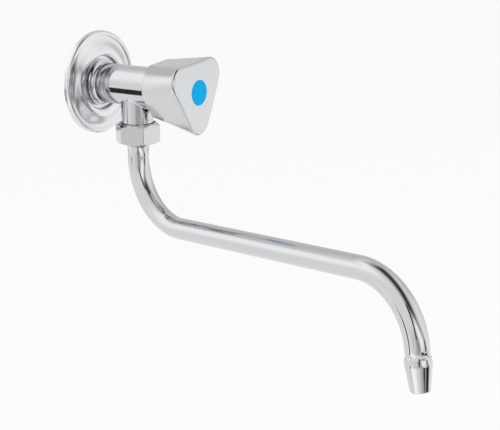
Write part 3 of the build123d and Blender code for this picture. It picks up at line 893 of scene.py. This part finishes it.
@dataclass
class TapBody(SubAssembly):
    """The cast body with its threaded inlet shank, its rosette and its union nut.

    Attributes:
        thread_r_mm: Crest radius of the inlet thread.
        thread_root_r_mm: Root radius of the inlet thread.
        pitch_mm: Distance between turns: 14 turns to the inch.
        thread_front_mm: Reach of the shank's front end, where the relief groove starts.
        front_slack_mm: How far before that end a point still counts as on it.
        thread_start_mm: Reach of the thread's first turn.
        thread_end_mm: Reach of its last turn.
        crest_mm: Width of the crest.
        flank_deg: Slope of the flanks: 55 degrees between them.
        sunk_mm: How far the ridge's foot lies inside the shank.
        steps_in_turn: Steps along each turn of the ridge.
        run_out_share: Part of the ridge's length over which either end grows.
        run_out_scale: Share of its full size that each end starts at.
    """

    thread_r_mm: float = 10.4775
    thread_root_r_mm: float = 9.3155
    pitch_mm: float = 25.4 / 14
    thread_front_mm: float = -1.5
    front_slack_mm: float = 0.05
    thread_start_mm: float = -0.6
    thread_end_mm: float = 13.15
    crest_mm: float = 0.36
    flank_deg: float = 27.5
    sunk_mm: float = 0.12
    steps_in_turn: int = 60
    run_out_share: float = 0.05
    run_out_scale: float = 0.03

    def build(self) -> None:
        """Makes the body with its thread, and dresses the fixed pieces round it."""
        keep_piece(self._casting(), Body.TAP, ("tap_body",))
        keep_piece(self._thread(), Body.TAP)
        self.shop.dress({
            "wall_rosette": PRESSED_CHROME, "union_nut": NUT_CHROME,
            "headwork_housing": TURNED_BRASS, "headwork_gasket": RED_FIBRE,
        })

    def _casting(self) -> Object:
        """Copies the body, merges its triangles and turns its shank down to the thread's root.

        Returns:
            The body with the CAD solid's own normals.
        """
        mesh = frame["nodes"]["tap_body"].data.copy()
        mesh.name = "cast_tap_body"
        kept = mesh.attributes.new("kept_normal", "FLOAT_VECTOR", "CORNER")
        normals = [value for corner in mesh.corner_normals for value in corner.vector]
        kept.data.foreach_set("vector", normals)
        work = bmesh.new()
        work.from_mesh(mesh)
        front = (self.thread_front_mm - self.front_slack_mm) * MM
        root = self.thread_root_r_mm * MM
        for point in work.verts:
            radius = hypot(point.co.x, point.co.z)
            if point.co.y > front and radius > root:
                point.co.x *= root / radius
                point.co.z *= root / radius
        bmesh.ops.remove_doubles(work, verts=work.verts, dist=SAME_POINT)
        work.to_mesh(mesh)
        work.free()
        mesh.normals_split_custom_set(self._normals(mesh, front, root))
        mesh.attributes.remove(mesh.attributes["kept_normal"])
        mesh.materials.clear()
        mesh.materials.append(self.shop.stuff(CAST_CHROME))
        return put_in_scene(mesh.name, mesh)

    @staticmethod
    def _normals(mesh: Mesh, front: float, root: float) -> list[Vector]:
        """Works out a normal for each corner of the turned-down casting.

        Args:
            mesh: The casting, with the normals from before in an attribute.
            front: Reach of the shank's front end, in metres.
            root: Radius that the shank was turned down to, in metres.

        Returns:
            The normal from before, and on the turned-down shank the direction from its axis.
        """
        kept = [Vector(item.vector) for item in mesh.attributes["kept_normal"].data]
        for face in mesh.polygons:
            spots = [mesh.vertices[index].co for index in face.vertices]
            if all(
                spot.y > front and abs(hypot(spot.x, spot.z) - root) < SAME_POINT for spot in spots
            ):
                for corner, spot in zip(face.loop_indices, spots):
                    kept[corner] = Vector((spot.x, 0.0, spot.z)).normalized()
        return kept

    def _thread(self) -> Object:
        """Winds the inlet thread's ridge round the shank, with a run-out at both ends.

        Returns:
            The ridge, right-handed about +Y.
        """
        tree, given = open_tree("pipe_thread", {
            "Root Radius": "Float", "Turns": "Float", "Length": "Float", "Crest Width": "Float",
            "Foot Width": "Float", "Ridge Height": "Float", "Ridge Middle": "Vector",
            "Start": "Vector", "Finish": "Material",
        })
        helix = add_node(
            tree, "GeometryNodeCurveSpiral",
            values={"Resolution": self.steps_in_turn, "Reverse": True},
            links={"Rotations": given["Turns"], "Start Radius": given["Root Radius"],
                   "End Radius": given["Root Radius"], "Height": given["Length"]},
        )
        upright = add_node(
            tree, "GeometryNodeSetCurveNormal", {"mode": "Z_UP"}, links={"Curve": helix}
        )
        tooth = add_node(
            tree, "GeometryNodeCurvePrimitiveQuadrilateral", {"mode": "TRAPEZOID"},
            values={"Offset": 0.0},
            links={"Bottom Width": given["Foot Width"], "Top Width": given["Crest Width"],
                   "Height": given["Ridge Height"]},
        )
        standing = add_node(
            tree, "GeometryNodeTransform", values={"Rotation": (0.0, 0.0, -pi / 2)},
            links={"Geometry": tooth, "Translation": given["Ridge Middle"]},
        )
        along = add_node(tree, "GeometryNodeSplineParameter")
        back = add_node(
            tree, "ShaderNodeMath", {"operation": "SUBTRACT"}, values={0: 1.0}, links={1: along}
        )
        nearest = add_node(
            tree, "ShaderNodeMath", {"operation": "MINIMUM"}, links={0: along, 1: back}
        )
        run_out = add_node(
            tree, "ShaderNodeMapRange",
            values={"From Max": self.run_out_share, "To Min": self.run_out_scale},
            links={"Value": nearest},
        )
        ridge = add_node(
            tree, "GeometryNodeCurveToMesh", values={"Fill Caps": True},
            links={"Curve": upright, "Profile Curve": standing, "Scale": run_out},
        )
        laid = add_node(
            tree, "GeometryNodeTransform", values={"Rotation": (-pi / 2, 0.0, 0.0)},
            links={"Geometry": ridge, "Translation": given["Start"]},
        )
        close_tree(tree, laid, given["Finish"])
        length = self.thread_end_mm - self.thread_start_mm
        height = self.thread_r_mm - self.thread_root_r_mm + self.sunk_mm
        sizes = {
            "Root Radius": self.thread_root_r_mm * MM, "Turns": length / self.pitch_mm,
            "Length": length * MM, "Crest Width": self.crest_mm * MM,
            "Foot Width": (self.crest_mm + 2 * height * tan(radians(self.flank_deg))) * MM,
            "Ridge Height": height * MM,
            "Ridge Middle": ((height / 2 - self.sunk_mm) * MM, 0.0, 0.0),
            "Start": (0.0, self.thread_start_mm * MM, 0.0), "Finish": self.shop.stuff(CAST_CHROME),
        }
        blank = put_in_scene("thread_blank", bpy.data.meshes.new("thread_blank"))
        return solid_from_tree("inlet_thread_ridge", blank, tree, sizes)


@dataclass
class Handle(SubAssembly):
    """The three-cornered handle, its index cap and the spindle that it turns.

    Attributes:
        seal_cord_r_mm: Radius of an O-ring's cord.
        seal_r_mm: Radius of an O-ring's middle line.
        seal_reaches_mm: The two O-rings on the spindle along the tap's axis, the front one first.
    """

    seal_cord_r_mm: float = 0.75
    seal_r_mm: float = 3.75
    seal_reaches_mm: tuple[float, float] = (-70.4, -66.6)

    def build(self) -> None:
        """Dresses the handle and what turns with it, and makes the spindle's seals."""
        self.shop.dress({
            "handle": ZINC_CHROME, "index_cap": BLUE_CAP, "handle_screw": STAINLESS,
            "spline_insert": PALE_ACETAL, "spindle": TURNED_BRASS, "thrust_washer": PALE_ACETAL,
            "spindle_circlip": STAINLESS,
        })
        front, rear = self.seal_reaches_mm
        seals = TurnedRing(
            "spindle_seal_rings", round_section(self.seal_cord_r_mm), self.seal_r_mm,
            INTO_WALL * front * MM, INTO_WALL, rings=2, gap_mm=rear - front, steps_around=64,
        )
        rings = seals.build(self.shop.stuff(BLACK_RUBBER))
        keep_piece(rings, Body.HANDLE, ("spindle_o_rings",))


@dataclass
class ValvePiston(SubAssembly):
    """The piston with its ring, its seat washer and the nut that holds it.

    Attributes:
        seal_cord_r_mm: Radius of the O-ring's cord.
        seal_r_mm: Radius of the O-ring's middle line.
        seal_reach_mm: Place of the O-ring along the tap's axis.
    """

    seal_cord_r_mm: float = 0.75
    seal_r_mm: float = 5.75
    seal_reach_mm: float = -42.7

    def build(self) -> None:
        """Dresses the piston's pieces and makes its seal."""
        self.shop.dress({
            "valve_piston": TURNED_BRASS, "washer_nut": TURNED_BRASS, "seat_washer": BLACK_RUBBER,
        })
        seal = TurnedRing(
            "piston_seal_ring", round_section(self.seal_cord_r_mm), self.seal_r_mm,
            INTO_WALL * self.seal_reach_mm * MM, INTO_WALL, steps_around=72,
        )
        ring = seal.build(self.shop.stuff(BLACK_RUBBER))
        keep_piece(ring, Body.PISTON, ("piston_o_ring",))


# ---- studio ------------------------------------------------------------------------------------
def facing(azimuth: float, elevation: float, turn: float) -> tuple[Vector, Vector, Vector]:
    """Works out the axes of something flat that stands square to a direction.

    Args:
        azimuth: The direction in degrees, anticlockwise from +X.
        elevation: Its height in degrees above level.
        turn: Roll about it in degrees.

    Returns:
        Unit vectors along the direction, along the width and along the height.
    """
    azimuth, elevation, turn = radians(azimuth), radians(elevation), radians(turn)
    ahead = Vector((cos(elevation) * cos(azimuth), cos(elevation) * sin(azimuth), sin(elevation)))
    right = Vector((sin(azimuth), -cos(azimuth), 0.0))
    above = right.cross(ahead)
    return ahead, right * cos(turn) + above * sin(turn), above * cos(turn) - right * sin(turn)


def fade(tree: NodeTree, look: NodeSocket, axis: Vector, full: float, gone: float) -> Node:
    """Covers the directions that are nearly square to an axis, with a soft edge.

    Args:
        tree: The world's tree.
        look: Direction in which a reflected ray leaves.
        axis: Unit vector of the axis.
        full: Share of the look along the axis at which the cover starts to fade.
        gone: Share at which it ends.

    Returns:
        The node that gives the cover, from one to nothing.
    """
    along = add_node(
        tree, "ShaderNodeVectorMath", {"operation": "DOT_PRODUCT"},
        values={1: axis}, links={0: look},
    )
    size = add_node(tree, "ShaderNodeMath", {"operation": "ABSOLUTE"}, links={0: along})
    return add_node(
        tree, "ShaderNodeMapRange", {"interpolation_type": "SMOOTHSTEP"},
        values={"From Min": full, "From Max": gone, "To Min": 1.0, "To Max": 0.0},
        links={"Value": size},
    )


@dataclass(frozen=True)
class Panel:
    """A soft-edged part of the far studio, seen only in the tap's reflections.

    Attributes:
        azimuth: Direction of its middle in degrees, anticlockwise from +X.
        elevation: Height of its middle in degrees above level.
        half_width: Half its width in degrees.
        half_height: Half its height in degrees.
        glow: Radiance, one being the white of the background.
        blur: Width of its soft edge in degrees.
        turn: Roll in degrees.
    """

    azimuth: float
    elevation: float
    half_width: float
    half_height: float
    glow: float
    blur: float = 8.0
    turn: float = 0.0

    def over(self, tree: NodeTree, look: NodeSocket, under: Node) -> Node:
        """Lays the panel over what lies behind it.

        Args:
            tree: The world's tree.
            look: Direction in which a reflected ray leaves.
            under: Node that gives the radiance behind the panel.

        Returns:
            The node that gives the radiance with the panel in place.
        """
        ahead, across, along = facing(self.azimuth, self.elevation, self.turn)
        depth = add_node(
            tree, "ShaderNodeVectorMath", {"operation": "DOT_PRODUCT"},
            values={1: ahead}, links={0: look},
        )
        cover = add_node(
            tree, "ShaderNodeMapRange", {"interpolation_type": "SMOOTHSTEP"},
            values={"From Min": PANEL_FRONT[0], "From Max": PANEL_FRONT[1]}, links={"Value": depth},
        )
        for axis, half in ((across, self.half_width), (along, self.half_height)):
            full = sin(radians(max(half - self.blur / 2, 0.0)))
            gone = sin(radians(half + self.blur / 2))
            cover = add_node(
                tree, "ShaderNodeMath", {"operation": "MULTIPLY"},
                links={0: cover, 1: fade(tree, look, axis, full, gone)},
            )
        return add_node(
            tree, "ShaderNodeMix", {"data_type": "FLOAT"}, values={3: self.glow},
            links={0: cover, 2: under},
        )


@dataclass
class Studio:
    """Floor, lamps, reflected surroundings and camera.

    Attributes:
        focal_px: Focal length in pixels of the photograph's frame.
        camera_mm: Place of the camera.
        yaw_deg: Heading of the camera from +Y towards +X.
        pitch_deg: How far it looks down.
        clip_m: Nearest and farthest distance that it sees.
        floor_drop_mm: Floor below the tap's axis.
        floor_size_mm: Side of the floor.
        floor_glow: Share of the floor's look that is plain white and takes no shadow.
        lamps: Name of each lamp, its azimuth and elevation in degrees, and its share of full light.
        lamp_size_m: Side of each lamp.
        lamp_distance_m: Distance of each lamp from the tap's middle.
        lamp_share: Part of the light that falls from the lamps, the rest being the room's.
        room_glow: Radiance of the room in the tap's reflections.
        panels: What else the far room shows there, the later ones in front.
    """

    focal_px: float = 1215.19
    camera_mm: tuple[float, float, float] = (-703.70, -592.21, 143.98)
    yaw_deg: float = 57.09
    pitch_deg: float = 15.23
    clip_m: tuple[float, float] = (0.01, 60.0)
    floor_drop_mm: float = 330.0
    floor_size_mm: float = 16000.0
    floor_glow: float = 0.9
    lamps: tuple[tuple[str, float, float, float], ...] = (
        ("key", 272.0, 32.0, 0.85), ("fill", 165.0, 35.0, 0.4),
    )
    lamp_size_m: float = 1.2
    lamp_distance_m: float = 1.8
    lamp_share: float = 0.5
    room_glow: float = 1.057
    panels: tuple[Panel, ...] = (
        Panel(112, 32, 24, 27, 1.36, blur=23, turn=24),  # bright wall, left behind
        Panel(35, 24, 53, 28, 0.74, blur=20, turn=0),  # grey wall, right behind
        Panel(300, -2, 10, 34, 1.20, blur=12, turn=-1),  # softbox on the right
        Panel(156, -32, 10, 28, 1.50, blur=14, turn=-62),  # white board, low on the left
        Panel(233, -12, 36, 17, 0.60, blur=12, turn=10),  # grey cloth under the camera
        Panel(245, 56, 19, 61, 0.05, blur=30, turn=10),  # dark gap overhead
        Panel(244, 9, 25, 13, 1.36, blur=19, turn=43),  # softbox over the camera
        Panel(288, -23, 16, 5, 0.02, blur=3, turn=-2),  # black rail, low on the right
        Panel(299, -17, 58, 3, 0.44, blur=13, turn=45),  # floor's edge on the right
        Panel(324, -15, 19, 11, 1.18, blur=12, turn=6),  # white board, low on the right
        Panel(189, -7, 13, 10, 0.89, blur=5, turn=21),  # white board on the left
        Panel(138, -22, 5, 12, 0.03, blur=4, turn=12),  # black strip, left behind
        Panel(214, 23, 5, 20, 0.03, blur=4, turn=1),  # black upright, left of the camera
        Panel(283, -4, 5, 7, 0.03, blur=4, turn=-14),  # black upright, right of the camera
        Panel(254, -18, 9, 7, 0.03, blur=3, turn=0),  # black strip under the camera
    )

    def build(self) -> None:
        """Makes the room, the lamps, the floor and the camera."""
        self._room()
        self._lamps()
        self._floor()
        self._camera()
        bpy.context.scene.view_settings.view_transform = "Standard"

    def _room(self) -> None:
        """Makes the world: white to the camera, a studio to reflections, soft light to the rest."""
        world = bpy.data.worlds.new("white_studio")
        world.use_nodes = True
        tree = world.node_tree
        tree.nodes.clear()
        look = add_node(tree, "ShaderNodeTexCoord").outputs["Generated"]
        radiance = add_node(tree, "ShaderNodeValue")
        radiance.outputs[0].default_value = self.room_glow
        for panel in self.panels:
            radiance = panel.over(tree, look, radiance)
        path = add_node(tree, "ShaderNodeLightPath")
        mirrored = add_node(
            tree, "ShaderNodeMath", {"operation": "ADD", "use_clamp": True},
            links={0: path.outputs["Is Glossy Ray"], 1: path.outputs["Is Transmission Ray"]},
        )
        lit = add_node(
            tree, "ShaderNodeMix", {"data_type": "FLOAT"}, values={2: 1.0 - self.lamp_share},
            links={0: mirrored, 3: radiance},
        )
        seen = add_node(
            tree, "ShaderNodeMix", {"data_type": "FLOAT"}, values={3: 1.0},
            links={0: path.outputs["Is Camera Ray"], 2: lit},
        )
        background = add_node(
            tree, "ShaderNodeBackground", values={"Color": WHITE}, links={"Strength": seen}
        )
        add_node(tree, "ShaderNodeOutputWorld", links={"Surface": background})
        bpy.context.scene.world = world
        log.info("room: %d panels", len(self.panels))

    def _lamps(self) -> None:
        """Hangs a large soft key lamp on the camera's right and a weaker one on its left."""
        lowest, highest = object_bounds()
        # Lamp power that gives a white surface square to it, at this distance, a radiance of one.
        full = (pi * self.lamp_distance_m) ** 2
        for name, azimuth, elevation, share in self.lamps:
            lamp = bpy.data.lights.new(name, "AREA")
            lamp.shape = "SQUARE"
            lamp.size = self.lamp_size_m
            lamp.energy = full * self.lamp_share * share
            away, _, _ = facing(azimuth, elevation, 0.0)
            thing = put_in_scene(name, lamp)
            thing.location = (lowest + highest) / 2 + away * self.lamp_distance_m
            thing.rotation_euler = away.to_track_quat("Z", "Y").to_euler()
            thing.visible_glossy = False

    def _floor(self) -> None:
        """Lays a pale floor that reads white and still takes the tap's shadow."""
        half, height = self.floor_size_mm * MM / 2, -self.floor_drop_mm * MM
        corners = [(x * half, y * half, height) for x, y in ((-1, -1), (1, -1), (1, 1), (-1, 1))]
        mesh = bpy.data.meshes.new("studio_floor")
        mesh.from_pydata(corners, [], [(0, 1, 2, 3)])
        mesh.materials.append(self._floor_paint())
        floor = put_in_scene("studio_floor", mesh)
        floor.visible_glossy = False
        floor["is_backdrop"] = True

    def _floor_paint(self) -> Material:
        """Makes matt white floor paint.

        Returns:
            A material that is nearly white to the camera, takes a faint shadow, and is clear from
            below.
        """
        material = new_material("matt_white_floor")
        tree = material.node_tree
        path = add_node(tree, "ShaderNodeLightPath")
        paint = add_node(tree, "ShaderNodeBsdfDiffuse", values={"Color": linear("#FAFAFA")})
        white = add_node(tree, "ShaderNodeEmission", values={"Color": WHITE, "Strength": 1.0})
        share = add_node(
            tree, "ShaderNodeMath", {"operation": "MULTIPLY"}, values={1: self.floor_glow},
            links={0: path.outputs["Is Camera Ray"]},
        )
        top = add_node(tree, "ShaderNodeMixShader", links={0: share, 1: paint, 2: white})
        clear = add_node(tree, "ShaderNodeBsdfTransparent")
        side = add_node(tree, "ShaderNodeNewGeometry")
        both = add_node(
            tree, "ShaderNodeMixShader", links={0: side.outputs["Backfacing"], 1: top, 2: clear}
        )
        add_node(tree, "ShaderNodeOutputMaterial", links={"Surface": both})
        return material

    def _camera(self) -> None:
        """Sets the camera at the photograph's angle."""
        camera = bpy.data.cameras.new("camera")
        camera.sensor_fit = "HORIZONTAL"
        camera.sensor_width = SENSOR_WIDTH_MM
        camera.lens = self.focal_px * SENSOR_WIDTH_MM / PHOTO_WIDTH
        camera.clip_start, camera.clip_end = self.clip_m
        yaw, pitch = radians(self.yaw_deg), radians(self.pitch_deg)
        ahead = Vector((sin(yaw) * cos(pitch), cos(yaw) * cos(pitch), -sin(pitch)))
        right = Vector((cos(yaw), -sin(yaw), 0.0))
        above = right.cross(ahead)
        turn = Matrix((right, above, -ahead)).transposed().to_4x4()
        thing = put_in_scene("camera", camera)
        thing.matrix_world = Matrix.Translation(Vector(self.camera_mm) * MM) @ turn
        bpy.context.scene.camera = thing


def main() -> None:
    """Builds the tap's looks and its studio."""
    logging.basicConfig(level=logging.INFO, format="%(name)s %(message)s")
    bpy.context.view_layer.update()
    shop = Workshop()
    for part in (TapBody(shop), Handle(shop), ValvePiston(shop), SwivelSpout(shop)):
        part.build()
        log.info("%s done", type(part).__name__)
    Studio().build()


if __name__ == "__main__":
    main()
